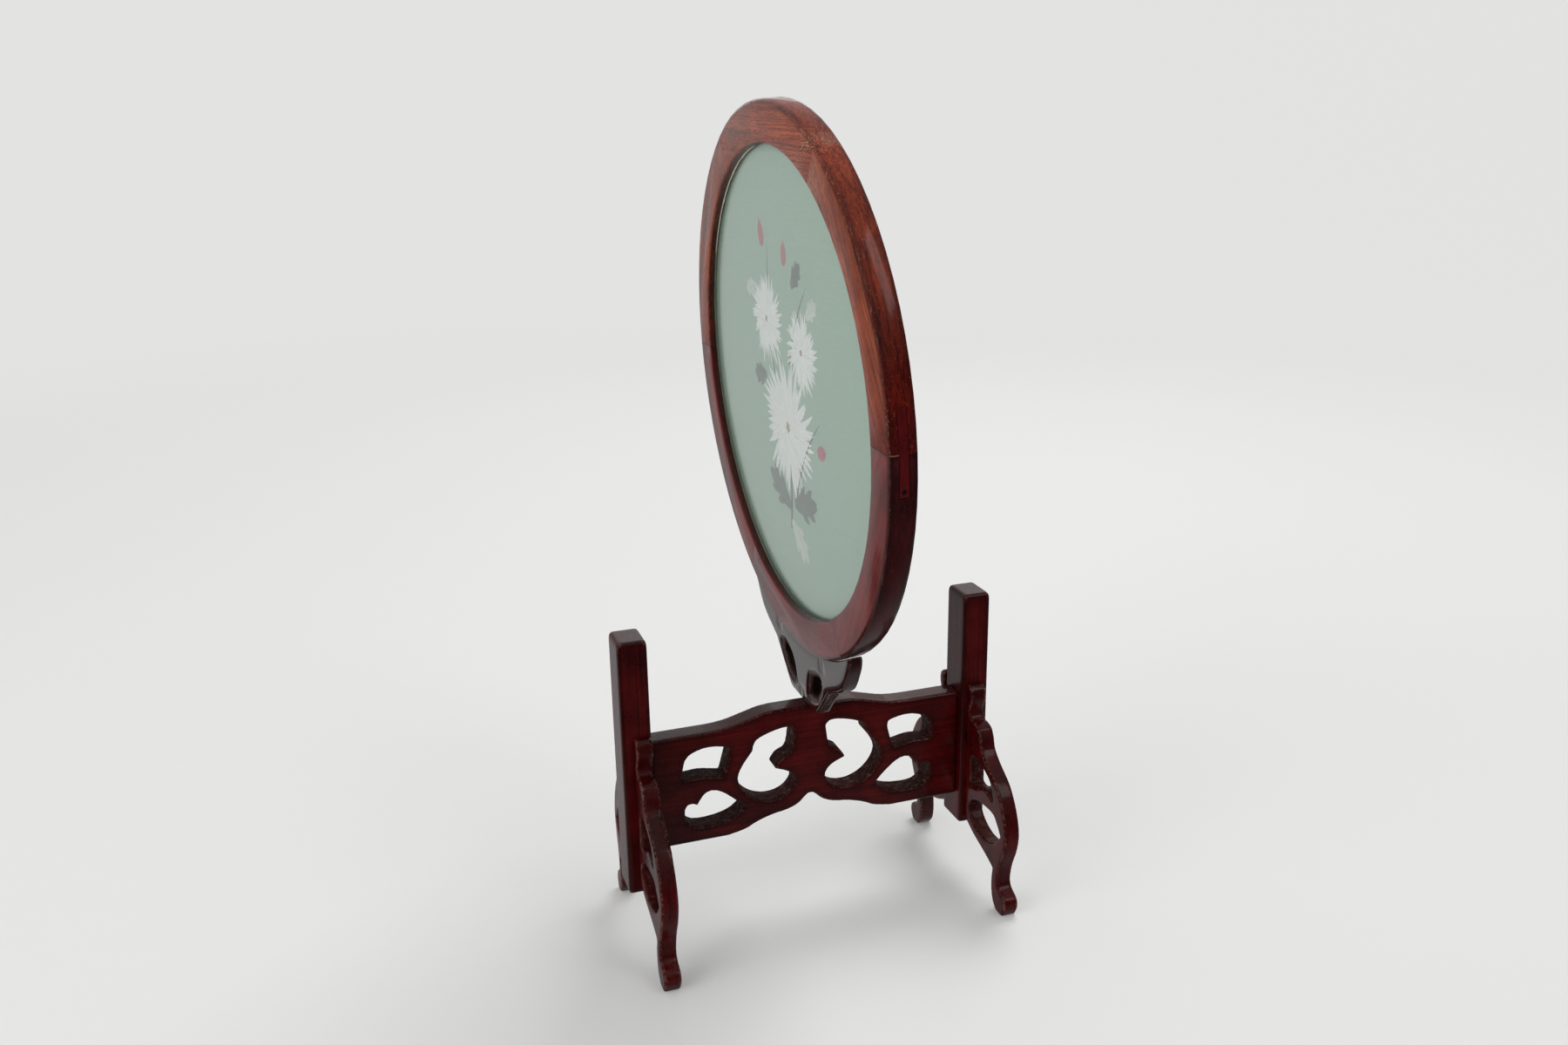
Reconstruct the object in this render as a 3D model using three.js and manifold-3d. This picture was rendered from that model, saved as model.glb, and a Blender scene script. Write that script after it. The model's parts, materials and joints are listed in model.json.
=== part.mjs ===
// A round double-sided silk screen on a carved stand: a ring of six hardwood segments holds the silk
// between two panes, sits in a carved cradle, and turns on a pin in the rail of a four-legged stand.
// Millimetres, +Z up, +X along the rail, -Y to the front. The origin is on the floor, midway between
// the posts and under the ring's centre.
import * as THREE from "three";
import { mergeVertices } from "three/addons/utils/BufferGeometryUtils.js";
import Module from "manifold-3d";

// Clearances
const seatGap = 0.3; // between shaped pieces that rest on each other
const glueGap = 0.04; // between flat faces that meet
const plugPlay = 0.12; // round a dowel, tenon or spline in its hole
const pinPlay = 0.09; // round the turning pin
const turnGap = 1.0; // under the cradle, where it turns over the rail

// Ring
const ringRadius = 90;
const ringWidth = 13.2;
const ringThickness = 9;
const ringEdgeRound = 1.5;
const ringSightRound = 0.7;
const segmentCount = 6;
const splineLength = 25;
const splineThickness = 2.8;
const splineDepth = 6.4;
const nailRadius = 0.75;
const nailLength = 4.6;
const nailInset = 1.7; // from the spline's lower end
const nailRecess = 0.35;
const ringDowelRadius = 1.4;
const ringDowelLength = 12;

// Picture
const paneThickness = 1.5;
const paneLap = 4; // how far the panes reach into the ring's groove
const silkThickness = 0.4;
const spacerThickness = 0.35;
const spacerWidth = 2.8;

// Cradle and pivot
const cradleRise = 24.4; // from where the pin leaves the rail to the ring's lowest point
const cradleThickness = 5.6;
const cradleHalfSpan = 46; // where the arms meet the ring
const cradleEase = 0.8;
const cradleDowelRadius = 1.3;
const cradleDowelLength = 9.6;
const cradleDowelAngle = 13; // either side of the lowest point, on the cradle's drawing, degrees
const pinRadius = 2;
const pinDepthInRail = 13;
const pinDepthInCradle = 5;
const screenTurn = -90; // the screen stands square to the rail
const screenLean = 3.4; // how far the pin's hole is out of plumb along the rail, degrees
const screenTip = 1.2; // and across it
const pinAlong = 1.2; // how far the hole is off the rail's middle, to the right
const pinAcross = 1.2; // and to the front

// Stand
const postSpacing = 126; // centre to centre
const postWidth = 10.3;
const postDepth = 13.8;
const postTop = 112.6;
const postBottoms = { left: 19.8, right: 22.4 };
const postRound = 1.1;
const postCrown = 2.2;
const railThickness = 8.2;
const railShoulder = 74.5;
const railHumpRise = 4.1; // over the shoulders
const railBottom = 33.4;
const railEase = 0.5;
const tenonLength = 4;
const tenonThickness = 3.6;
const tenonInset = 5; // below the rail's shoulders and above its lower edge
const legThickness = 6;
const legTop = 78.4;
const legEase = 0.5;
const legDowelRadius = 1.2;
const legDowelLength = 8.4;
const legDowelDepthInPost = 3.5;
const legDowelHeights = [38.2, 57];
// How far each toe is from the rail's middle, and how far in from the post's middle each leg stands
const legSettings = {
  front_left: { reach: 39.3, footInset: 1.2, topInset: 1.9 },
  front_right: { reach: 39.3, footInset: 0, topInset: 0.2 },
  rear_left: { reach: 31.5, footInset: 1, topInset: 1.6 },
  rear_right: { reach: 39.8, footInset: 0.4, topInset: 2.9 },
};

// Fineness
const outlineStep = 1.9;
const ringSteps = 72;
const paneSides = 72;
const dowelSides = 12;
const pinSides = 24;

const wasm = await Module();
wasm.setup();

const lacquer = new THREE.MeshStandardMaterial({ color: 0x4a1216, roughness: 0.3, metalness: 0 });
const ringWood = new THREE.MeshStandardMaterial({ color: 0x7a3524, roughness: 0.32, metalness: 0 });
const darkWood = new THREE.MeshStandardMaterial({ color: 0x2a0f10, roughness: 0.3, metalness: 0 });
const dowelWood = new THREE.MeshStandardMaterial({ color: 0x8a5a3a, roughness: 0.7, metalness: 0 });
const glass = new THREE.MeshStandardMaterial({
  color: 0xdfe9e4,
  roughness: 0.05,
  transparent: true,
  opacity: 0.25,
});
const silk = new THREE.MeshStandardMaterial({ color: 0x9aada3, roughness: 0.6, metalness: 0 });
const card = new THREE.MeshStandardMaterial({ color: 0xcfc8b4, roughness: 0.9, metalness: 0 });
const iron = new THREE.MeshStandardMaterial({ color: 0x3a3634, roughness: 0.6, metalness: 0.8 });

// Solids
// Corners that lie together become one, and triangles that this flattens are dropped.
function welded(geometry) {
  const bare = geometry.clone();
  for (const name of Object.keys(bare.attributes)) {
    if (name !== "position") {
      bare.deleteAttribute(name);
    }
  }
  const merged = mergeVertices(bare, 1e-4);
  const kept = [];
  for (let i = 0; i < merged.index.count; i += 3) {
    const corners = [0, 1, 2].map((k) => merged.index.getX(i + k));
    if (new Set(corners).size === 3) {
      kept.push(...corners);
    }
  }
  merged.setIndex(kept);
  return merged;
}

function toSolid(geometry) {
  const merged = welded(geometry);
  return new wasm.Manifold(
    new wasm.Mesh({
      numProp: 3,
      vertProperties: new Float32Array(merged.attributes.position.array),
      triVerts: new Uint32Array(merged.index.array),
    }),
  );
}

function toGeometry(solid) {
  const mesh = solid.getMesh();
  const geometry = new THREE.BufferGeometry();
  geometry.setAttribute("position", new THREE.BufferAttribute(new Float32Array(mesh.vertProperties), 3));
  geometry.setIndex(new THREE.BufferAttribute(new Uint32Array(mesh.triVerts), 1));
  return faceted(geometry);
}

function faceted(geometry) {
  const flat = geometry.toNonIndexed();
  flat.computeVertexNormals();
  return flat;
}

function cut(body, ...tools) {
  let solid = toSolid(body);
  for (const tool of tools) {
    solid = solid.subtract(toSolid(tool));
  }
  return toGeometry(solid);
}

function common(first, second) {
  return toGeometry(toSolid(first).intersect(toSolid(second)));
}

function box(width, depth, height, x = 0, y = 0, z = 0) {
  const geometry = new THREE.BoxGeometry(width, depth, height);
  geometry.translate(x, y, z);
  return geometry;
}

// A round rod from one point to another.
function rod(radius, from, to, sides = dowelSides) {
  const start = new THREE.Vector3(...from);
  const end = new THREE.Vector3(...to);
  const along = end.clone().sub(start);
  const geometry = new THREE.CylinderGeometry(radius, radius, along.length(), sides);
  const turn = new THREE.Quaternion().setFromUnitVectors(new THREE.Vector3(0, 1, 0), along.normalize());
  geometry.applyQuaternion(turn);
  geometry.translate(...start.add(end).multiplyScalar(0.5).toArray());
  return geometry;
}

// A flat disc or washer round the Y axis.
function washer(outer, inner, thickness, y, sides = paneSides) {
  const half = thickness / 2;
  const profile = [
    [inner, -half],
    [outer, -half],
    [outer, half],
    [inner, half],
  ];
  if (inner > 0) {
    profile.push(profile[0]);
  }
  const geometry = new THREE.LatheGeometry(profile.map(([r, h]) => new THREE.Vector2(r, h)), sides);
  geometry.translate(0, y, 0);
  return faceted(welded(geometry));
}

// Outlines: each run is a smooth curve, and runs meet at sharp corners.
function outline(runs) {
  const points = [];
  for (const run of runs) {
    const curve = new THREE.SplineCurve(run.map(([x, y]) => new THREE.Vector2(x, y)));
    const steps = run.length === 2 ? 1 : Math.max(2, Math.round(curve.getLength() / outlineStep));
    points.push(...curve.getSpacedPoints(steps).slice(0, -1));
  }
  return points;
}

function flipped(points) {
  return points.map(([x, y]) => [-x, y]);
}

function mirrored(points) {
  return flipped(points).reverse();
}

function drawnOutline(runs, place) {
  return outline(runs.map((run) => run.map(place)));
}

function bothSides(runs) {
  return [runs, runs.map(mirrored).reverse()];
}

// A board in the XZ plane, centred on y = 0, sawn to one outline, pierced, and with its arrises eased.
function board(edge, openings, thickness, ease) {
  const isClockwise = THREE.ShapeUtils.isClockWise;
  const shape = new THREE.Shape(isClockwise(edge) ? edge : edge.slice().reverse());
  for (const opening of openings) {
    shape.holes.push(new THREE.Path(isClockwise(opening) ? opening.slice().reverse() : opening));
  }
  const geometry = new THREE.ExtrudeGeometry(shape, {
    depth: thickness - 2 * ease,
    bevelEnabled: true,
    bevelThickness: ease,
    bevelSize: ease,
    bevelOffset: -ease,
    bevelSegments: 1,
    curveSegments: 1,
  });
  geometry.translate(0, 0, -(thickness - 2 * ease) / 2);
  geometry.rotateX(Math.PI / 2);
  return geometry;
}

function piece(name, geometry, material) {
  const mesh = new THREE.Mesh(geometry, material);
  mesh.name = name;
  return mesh;
}

// Rail
const railHalf = postSpacing / 2 - postWidth / 2 - glueGap;

// The right half of the carving is drawn over the rail's lower edge. Its end, its shoulder and its crest
// are sent to the rail's own, and the rest follows them.
const railTopRuns = [
  [
    [57.8, 41.1],
    [38, 41.1],
  ],
  [
    [38, 41.1],
    [30.5, 41.6],
    [23, 43.4],
    [17.5, 44.8],
    [13, 45.2],
  ],
];
const railHump = railShoulder + railHumpRise;
const [drawnRailEnd, drawnRailShoulder] = railTopRuns[0][0];
const drawnRailCrest = railTopRuns[1].at(-1)[1];

function onRail([x, z]) {
  const across = (x * railHalf) / drawnRailEnd;
  if (z <= drawnRailShoulder) {
    return [across, railBottom + (z * (railShoulder - railBottom)) / drawnRailShoulder];
  }
  const drawnRise = drawnRailCrest - drawnRailShoulder;
  return [across, railShoulder + ((z - drawnRailShoulder) * railHumpRise) / drawnRise];
}

function railOutline() {
  const [upperHalf, shoulder] = railTopRuns;
  const lowerHalf = [
    [57.8, 0],
    [31, 0],
  ];
  const arch = [
    [31, 0],
    [24.5, 1.3],
    [20.5, 3.2],
    [14.5, 5],
    [9, 5.9],
    [4.6, 7.6],
    [1.4, 10.6],
    [0, 11],
  ];
  const across = [shoulder.at(-1), flipped(shoulder).at(-1)];
  const wholeArch = [...arch, ...mirrored(arch).slice(1)];
  const end = [upperHalf[0], lowerHalf[0]];
  const runs = [
    end,
    lowerHalf,
    wholeArch,
    mirrored(lowerHalf),
    mirrored(end),
    flipped(upperHalf),
    flipped(shoulder),
    [across[1], across[0]],
    shoulder.slice().reverse(),
    upperHalf.slice().reverse(),
  ];
  return drawnOutline(runs, onRail);
}

// Pierced openings of the right half: a half moon, a bud under it, and a scroll with a barb.
const railOpenings = [
  [
    [
      [46.8, 24.3],
      [46.6, 29],
      [44.6, 33.3],
      [38, 35.4],
      [30.6, 34.2],
      [29.9, 32],
      [31.4, 26],
      [32.2, 23.2],
    ],
    [
      [32.2, 23.2],
      [35.6, 23.9],
      [40, 24.6],
      [46.8, 24.3],
    ],
  ],
  [
    [
      [25, 10],
      [28, 13.3],
      [33, 17.4],
      [36.6, 18.7],
      [39.4, 17.7],
      [42, 14],
    ],
    [
      [42, 14],
      [44.6, 15],
      [46.4, 13.2],
      [46.1, 8.7],
      [43, 5.7],
      [38, 5.2],
      [32.5, 5.8],
      [28, 7.4],
      [25, 10],
    ],
  ],
  [
    [
      [6, 36.6],
      [8.2, 38.2],
      [14, 37.4],
      [20, 35],
      [21.4, 31.2],
    ],
    [
      [21.4, 31.2],
      [25.4, 25.8],
      [27, 21.3],
      [25.2, 16.6],
      [20.8, 12.6],
      [14.8, 10.8],
      [8.8, 12.2],
      [5.6, 16.4],
      [7.6, 20.4],
      [13.4, 23],
    ],
    [
      [13.4, 23],
      [11, 26.4],
      [7.4, 28.4],
      [6, 36.6],
    ],
  ],
];

function railGeometry() {
  const drawnOpenings = railOpenings.flatMap((runs) => bothSides(runs));
  const openings = drawnOpenings.map((drawn) => drawnOutline(drawn, onRail));
  const plate = toSolid(board(railOutline(), openings, railThickness, railEase));
  const height = railShoulder - railBottom - 2 * tenonInset;
  const middle = (railShoulder + railBottom) / 2;
  const reach = tenonLength + railEase + 1;
  const tenons = [-1, 1].map((side) =>
    toSolid(box(reach, tenonThickness, height, side * (railHalf + tenonLength - reach / 2), 0, middle)),
  );
  const bore = toSolid(pinBore());
  return toGeometry(plate.add(tenons[0]).add(tenons[1]).subtract(bore));
}

function mortise(side) {
  const height = railShoulder - railBottom - 2 * tenonInset + 2 * plugPlay;
  const depth = tenonLength + glueGap + plugPlay;
  const face = postSpacing / 2 - postWidth / 2;
  const middle = (railShoulder + railBottom) / 2;
  return box(depth + 1, tenonThickness + 2 * plugPlay, height, side * (face + (depth - 1) / 2), 0, middle);
}

// Posts
function postGeometry(side, bottom) {
  const halfWidth = postWidth / 2;
  const halfDepth = postDepth / 2;
  const shape = new THREE.Shape();
  shape.moveTo(-halfWidth + postRound, -halfDepth);
  shape.lineTo(halfWidth - postRound, -halfDepth);
  shape.absarc(halfWidth - postRound, -halfDepth + postRound, postRound, -Math.PI / 2, 0);
  shape.lineTo(halfWidth, halfDepth - postRound);
  shape.absarc(halfWidth - postRound, halfDepth - postRound, postRound, 0, Math.PI / 2);
  shape.lineTo(-halfWidth + postRound, halfDepth);
  shape.absarc(-halfWidth + postRound, halfDepth - postRound, postRound, Math.PI / 2, Math.PI);
  shape.lineTo(-halfWidth, -halfDepth + postRound);
  shape.absarc(-halfWidth + postRound, -halfDepth + postRound, postRound, Math.PI, 1.5 * Math.PI);
  const geometry = new THREE.ExtrudeGeometry(shape, {
    depth: postTop - bottom - postCrown,
    bevelEnabled: true,
    bevelThickness: postCrown,
    bevelSize: postRound * 0.8,
    bevelOffset: -postRound * 0.8,
    bevelSegments: 3,
    curveSegments: 3,
  });
  const middle = (side * postSpacing) / 2;
  geometry.translate(middle, 0, bottom);
  const below = box(postWidth * 2, postDepth * 2, postCrown * 2, middle, 0, bottom - postCrown);
  return cut(geometry, below, mortise(side), ...legDowelHoles(side));
}

// Legs, drawn in Y and Z. The drawing's straight back is sent to the post's face, its toe to the leg's
// reach and its top to the leg's top.
const legOutlineRuns = [
  [
    [7, 78.4],
    [9, 78.2],
    [10.5, 76.4],
    [10.6, 73],
    [9.5, 70.2],
    [8.9, 68],
    [9.6, 66.2],
    [11.2, 65.3],
  ],
  [
    [11.2, 65.3],
    [13.6, 65.2],
    [16.2, 64.2],
  ],
  [
    [16.2, 64.2],
    [17.9, 61.2],
    [19.2, 57.2],
    [23.8, 53.2],
    [31, 48.2],
    [36.2, 40.6],
    [38.5, 33],
    [37.6, 26],
    [34.4, 18],
    [33.2, 11.8],
    [34.4, 9.2],
    [38.2, 7.2],
    [39.3, 4],
    [37.4, 0],
  ],
  [
    [37.4, 0],
    [33, 0],
  ],
  [
    [33, 0],
    [30, 3.6],
    [28.9, 9.8],
    [29.6, 15.6],
  ],
  [
    [29.6, 15.6],
    [23.6, 18],
    [15, 20.8],
    [10.4, 22.9],
    [7, 24.6],
  ],
  [
    [7, 24.6],
    [7, 78.4],
  ],
];
const legOpenings = [
  [
    [
      [10, 29.6],
      [12.8, 26.2],
      [19.4, 23.4],
      [28, 24.4],
      [34.6, 30.8],
    ],
    [
      [34.6, 30.8],
      [31.4, 34.6],
      [28.2, 36.7],
      [18, 36.1],
      [11.8, 33.4],
      [10, 29.6],
    ],
  ],
  [
    [
      [11.2, 40.6],
      [15, 40.3],
      [21.6, 43.4],
      [28.6, 41.4],
    ],
    [
      [28.6, 41.4],
      [26.2, 47.6],
      [20.6, 50.8],
      [15, 52.6],
      [11, 50.6],
    ],
    [
      [11, 50.6],
      [11.2, 40.6],
    ],
  ],
];

const [drawnLegBack, drawnLegTop] = legOutlineRuns[0][0];
const drawnLegToe = Math.max(...legOutlineRuns.flat().map(([y]) => y));

function onLeg([y, z], reach) {
  const face = postDepth / 2 + glueGap;
  const outward = (y - drawnLegBack) / (drawnLegToe - drawnLegBack);
  return [face + outward * (reach - face), (z * legTop) / drawnLegTop];
}

function legName(side, face) {
  return `${face < 0 ? "front" : "rear"}_${side < 0 ? "left" : "right"}`;
}

// How far to the right a leg stands at the floor, and how much more it does with each millimetre up.
function legPlace(side, face) {
  const { footInset, topInset } = legSettings[legName(side, face)];
  return {
    atFloor: side * (postSpacing / 2 - footInset),
    perHeight: (-side * (topInset - footInset)) / legTop,
  };
}

function legGeometry(side, face) {
  const { reach } = legSettings[legName(side, face)];
  const place = (point) => onLeg(point, reach);
  const openings = legOpenings.map((runs) => drawnOutline(runs, place));
  const geometry = board(drawnOutline(legOutlineRuns, place), openings, legThickness, legEase);
  const { atFloor, perHeight } = legPlace(side, face);
  geometry.rotateZ((face * Math.PI) / 2);
  const leaning = new THREE.Matrix4().set(1, 0, perHeight, atFloor, 0, 1, 0, 0, 0, 0, 1, 0, 0, 0, 0, 1);
  geometry.applyMatrix4(leaning);
  return cut(geometry, ...legDowelHeights.map((z) => legDowelHole(side, face, z)));
}

function legDowelEnds(side, face, z, play) {
  const { atFloor, perHeight } = legPlace(side, face);
  const inner = postDepth / 2 - legDowelDepthInPost - play;
  const outer = postDepth / 2 - legDowelDepthInPost + legDowelLength + play;
  const x = atFloor + perHeight * z;
  return [
    [x, face * inner, z],
    [x, face * outer, z],
  ];
}

function legDowel(side, face, z) {
  return rod(legDowelRadius, ...legDowelEnds(side, face, z, 0));
}

function legDowelHole(side, face, z) {
  return rod(legDowelRadius + plugPlay, ...legDowelEnds(side, face, z, plugPlay));
}

function legDowelHoles(side) {
  return [-1, 1].flatMap((face) => legDowelHeights.map((z) => legDowelHole(side, face, z)));
}

// Turning group: its origin is where the pin leaves the rail, X lies in the ring's plane, Y is square to it.
const turning = new THREE.Group();
turning.position.set(pinAlong, -pinAcross, railHump);
turning.rotation.order = "YXZ";
turning.rotation.x = THREE.MathUtils.degToRad(screenTip);
turning.rotation.y = THREE.MathUtils.degToRad(-screenLean);
turning.rotation.z = THREE.MathUtils.degToRad(screenTurn);
turning.updateMatrix();

const ringCentre = cradleRise + ringRadius;
const sightRadius = ringRadius - ringWidth;
const grooveRadius = sightRadius + paneLap;
const packThickness = silkThickness + 2 * spacerThickness + 2 * paneThickness;

function pinEnds(play) {
  return [
    [0, 0, -pinDepthInRail - play],
    [0, 0, turnGap + pinDepthInCradle + play],
  ];
}

function pinBore() {
  const geometry = rod(pinRadius + pinPlay, ...pinEnds(plugPlay), pinSides);
  geometry.applyMatrix4(turning.matrix);
  return geometry;
}

// Ring, turned as one and sawn into equal segments
function ringBlank() {
  const half = ringThickness / 2;
  const round = ringEdgeRound;
  const sight = ringSightRound;
  const outerArc = [0, 0.5, 1].map((t) => {
    const angle = (t * Math.PI) / 2;
    return [ringRadius - round + round * Math.cos(angle), half - round + round * Math.sin(angle)];
  });
  const upper = [...outerArc, [sightRadius + sight, half], [sightRadius, half - sight]];
  const lower = upper.map(([r, y]) => [r, -y]).reverse();
  const profile = [...lower, ...upper, lower[0]];
  const geometry = new THREE.LatheGeometry(profile.map(([r, y]) => new THREE.Vector2(r, y)), ringSteps);
  geometry.translate(0, 0, ringCentre);
  return geometry;
}

function grooveBlank() {
  const geometry = washer(grooveRadius, 0, packThickness + 2 * plugPlay, 0, ringSteps);
  geometry.translate(0, 0, ringCentre);
  return geometry;
}

const segmentSpan = (2 * Math.PI) / segmentCount;

// The joint with this number, counted from the near side, as a direction in the ring's plane.
function jointAngle(index) {
  return index * segmentSpan;
}

function wedge(index) {
  const reach = ringRadius * 2;
  const from = jointAngle(index);
  const to = jointAngle(index + 1);
  const middle = (from + to) / 2;
  const offset = glueGap / 2 / Math.sin(segmentSpan / 2);
  const apex = [offset * Math.cos(middle), offset * Math.sin(middle)];
  const corner = (angle) => [apex[0] + reach * Math.cos(angle), apex[1] + reach * Math.sin(angle)];
  const points = [apex, corner(from), corner(middle), corner(to)];
  const shape = new THREE.Shape(points.map(([x, z]) => new THREE.Vector2(x, z)));
  const geometry = new THREE.ExtrudeGeometry(shape, { depth: ringThickness * 2, bevelEnabled: false });
  geometry.translate(0, 0, -ringThickness);
  geometry.rotateX(Math.PI / 2);
  geometry.translate(0, 0, ringCentre);
  return geometry;
}

// Hidden dowels join the slanting joints, and open splines join the level ones.
function isLevel(index) {
  return Math.abs(Math.sin(jointAngle(index))) < 0.01;
}

function ringDowelEnds(index, play) {
  const angle = jointAngle(index);
  const radius = (grooveRadius + ringRadius) / 2;
  const half = ringDowelLength / 2 + play;
  return [-half, half].map((along) => [
    radius * Math.cos(angle) - along * Math.sin(angle),
    0,
    ringCentre + radius * Math.sin(angle) + along * Math.cos(angle),
  ]);
}

function splineBlank(index, play) {
  const side = Math.sign(Math.cos(jointAngle(index)));
  const depth = splineDepth + play + 1;
  const inner = ringRadius - splineDepth - play;
  return box(
    depth,
    splineThickness + 2 * play,
    splineLength + 2 * play,
    side * (inner + depth / 2),
    0,
    ringCentre,
  );
}

function nailEnds(index, play) {
  const side = Math.sign(Math.cos(jointAngle(index)));
  const drop = splineLength / 2 - nailInset;
  const surface = Math.sqrt(ringRadius ** 2 - drop ** 2);
  const outer = surface - nailRecess;
  const z = ringCentre - drop;
  return [
    [side * (outer - nailLength - play), 0, z],
    [side * (play > 0 ? surface + 1 : outer), 0, z],
  ];
}

function jointCutter(index) {
  if (isLevel(index)) {
    return splineBlank(index, plugPlay);
  }
  return rod(ringDowelRadius + plugPlay, ...ringDowelEnds(index, plugPlay));
}

function cradleDowelEnds(side, play) {
  const angle = THREE.MathUtils.degToRad(cradleDowelAngle) * cradleSpread;
  const at = (radius) => [
    side * radius * Math.sin(angle),
    0,
    ringCentre - radius * Math.cos(angle),
  ];
  const half = cradleDowelLength / 2 + play;
  return [at(ringRadius - half), at(ringRadius + half)];
}

function cradleDowelHole(side) {
  return rod(cradleDowelRadius + plugPlay, ...cradleDowelEnds(side, plugPlay));
}

function segmentGeometry(index) {
  const wood = cut(ringBlank(), grooveBlank());
  const arc = common(wood, wedge(index));
  const next = (index + 1) % segmentCount;
  const cutters = [jointCutter(index), jointCutter(next), cradleDowelHole(-1), cradleDowelHole(1)];
  return cut(arc, ...cutters);
}

function splineGeometry(index) {
  const blank = common(splineBlank(index, 0), ringBlank());
  return cut(blank, rod(nailRadius + plugPlay / 2, ...nailEnds(index, plugPlay), dowelSides));
}

// Cradle. Its right half is drawn wrapped round the ring, each point as its angle in degrees from
// straight down and its depth under the ring. The arm's end is sent to the span and the foot to its gap.
const cradleFoot = [
  [5.3, 23.9],
  [6.5, 23.5],
  [7.4, 22.3],
  [9.6, 18.9],
  [12.1, 15.6],
  [14.6, 12.5],
];
const cradleArm = [
  [14.6, 12.5],
  [17.5, 11.7],
  [20.7, 11.1],
  [23.3, 10.2],
];
const cradleTip = [
  [23.3, 10.2],
  [24.9, 8.8],
  [26.8, 6.8],
  [29.1, 4.3],
  [30.4, 2.1],
  [30.7, 0.5],
];
const cradleTipEnd = [
  [30.7, 0.5],
  [30.9, -1.6],
];
const cradleOpening = [
  [
    [2.7, 18.6],
    [4.7, 19.6],
    [8, 18.2],
    [11, 13.5],
    [11.9, 9.8],
  ],
  [
    [11.9, 9.8],
    [10.8, 7.4],
    [8.2, 7],
    [5.1, 8.8],
    [3.5, 12.6],
    [2.7, 18.6],
  ],
];

const cradleEndAngle = THREE.MathUtils.radToDeg(Math.asin(cradleHalfSpan / ringRadius));
const cradleSpread = cradleEndAngle / cradleTip.at(-1)[0];

function onCradle([degrees, depth]) {
  const turn = (angle) => THREE.MathUtils.degToRad(angle * cradleSpread);
  const [footAngle, footDepth] = cradleFoot[0];
  const footRadius = (ringCentre - turnGap) / Math.cos(turn(footAngle));
  const radius = ringRadius + (depth * (footRadius - ringRadius)) / footDepth;
  return [radius * Math.sin(turn(degrees)), ringCentre - radius * Math.cos(turn(degrees))];
}

function cradleGeometry() {
  const half = [cradleFoot, cradleArm, cradleTip, cradleTipEnd];
  const across = [cradleTipEnd[1], flipped(cradleTipEnd)[1]];
  const base = [flipped(cradleFoot)[0], cradleFoot[0]];
  const runs = [...half, across, ...half.map(mirrored).reverse(), base];
  const openings = bothSides(cradleOpening).map((drawn) => drawnOutline(drawn, onCradle));
  const blank = board(drawnOutline(runs, onCradle), openings, cradleThickness, cradleEase);
  const seat = washer(ringRadius + seatGap, 0, ringThickness * 2, 0, ringSteps * 2);
  seat.translate(0, 0, ringCentre);
  const socket = rod(pinRadius + plugPlay, ...pinEnds(plugPlay), pinSides);
  return cut(blank, seat, socket, cradleDowelHole(-1), cradleDowelHole(1));
}

// Assembly
const screen = new THREE.Group();
const sides = { left: -1, right: 1 };
const faces = { front: -1, rear: 1 };

screen.add(piece("rail", railGeometry(), lacquer));
for (const [sideName, side] of Object.entries(sides)) {
  screen.add(piece(`post_${sideName}`, postGeometry(side, postBottoms[sideName]), lacquer));
  for (const [faceName, face] of Object.entries(faces)) {
    screen.add(piece(`leg_${faceName}_${sideName}`, legGeometry(side, face), lacquer));
    legDowelHeights.forEach((z, index) => {
      const place = ["lower", "upper"][index];
      screen.add(piece(`leg_dowel_${faceName}_${sideName}_${place}`, legDowel(side, face, z), dowelWood));
    });
  }
}

const segmentNames = ["near_upper", "top", "far_upper", "far_lower", "bottom", "near_lower"];
segmentNames.forEach((name, index) => {
  turning.add(piece(`ring_${name}`, segmentGeometry(index), ringWood));
});
const levelNames = { 0: "near", 3: "far" };
for (let index = 0; index < segmentCount; index += 1) {
  if (isLevel(index)) {
    const name = levelNames[index];
    turning.add(piece(`spline_${name}`, splineGeometry(index), darkWood));
    turning.add(piece(`spline_nail_${name}`, rod(nailRadius, ...nailEnds(index, 0)), iron));
  } else {
    const geometry = rod(ringDowelRadius, ...ringDowelEnds(index, 0));
    turning.add(piece(`ring_dowel_${index}`, geometry, dowelWood));
  }
}

const pieceAtCentre = (name, geometry, material) => {
  geometry.translate(0, 0, ringCentre);
  turning.add(piece(name, geometry, material));
};
const paneRadius = grooveRadius - seatGap;
pieceAtCentre("silk_panel", washer(paneRadius, 0, silkThickness, 0), silk);
for (const [faceName, face] of Object.entries(faces)) {
  const spacerY = face * (silkThickness / 2 + spacerThickness / 2);
  const paneY = face * (silkThickness / 2 + spacerThickness + paneThickness / 2);
  const spacer = washer(paneRadius, paneRadius - spacerWidth, spacerThickness - 2 * glueGap, spacerY);
  pieceAtCentre(`spacer_${faceName}`, spacer, card);
  pieceAtCentre(`pane_${faceName}`, washer(paneRadius, 0, paneThickness, paneY), glass);
}

turning.add(piece("cradle", cradleGeometry(), darkWood));
for (const [name, side] of Object.entries({ far: -1, near: 1 })) {
  turning.add(piece(`cradle_dowel_${name}`, rod(cradleDowelRadius, ...cradleDowelEnds(side, 0)), dowelWood));
}
turning.add(piece("pivot_pin", rod(pinRadius, ...pinEnds(0), pinSides), darkWood));
screen.add(turning);

// The whole is set back so that the ring's centre is over the origin, front to back.
const ringMiddle = new THREE.Vector3(0, 0, ringCentre).applyMatrix4(turning.matrix);
screen.position.y = -ringMiddle.y;

export default screen;
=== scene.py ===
"""Looks of the round double-sided silk screen on its carved stand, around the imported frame."""
import json
import math
import random

import bmesh
import bpy
import numpy as np
from mathutils import Matrix, Vector, kdtree


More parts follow.
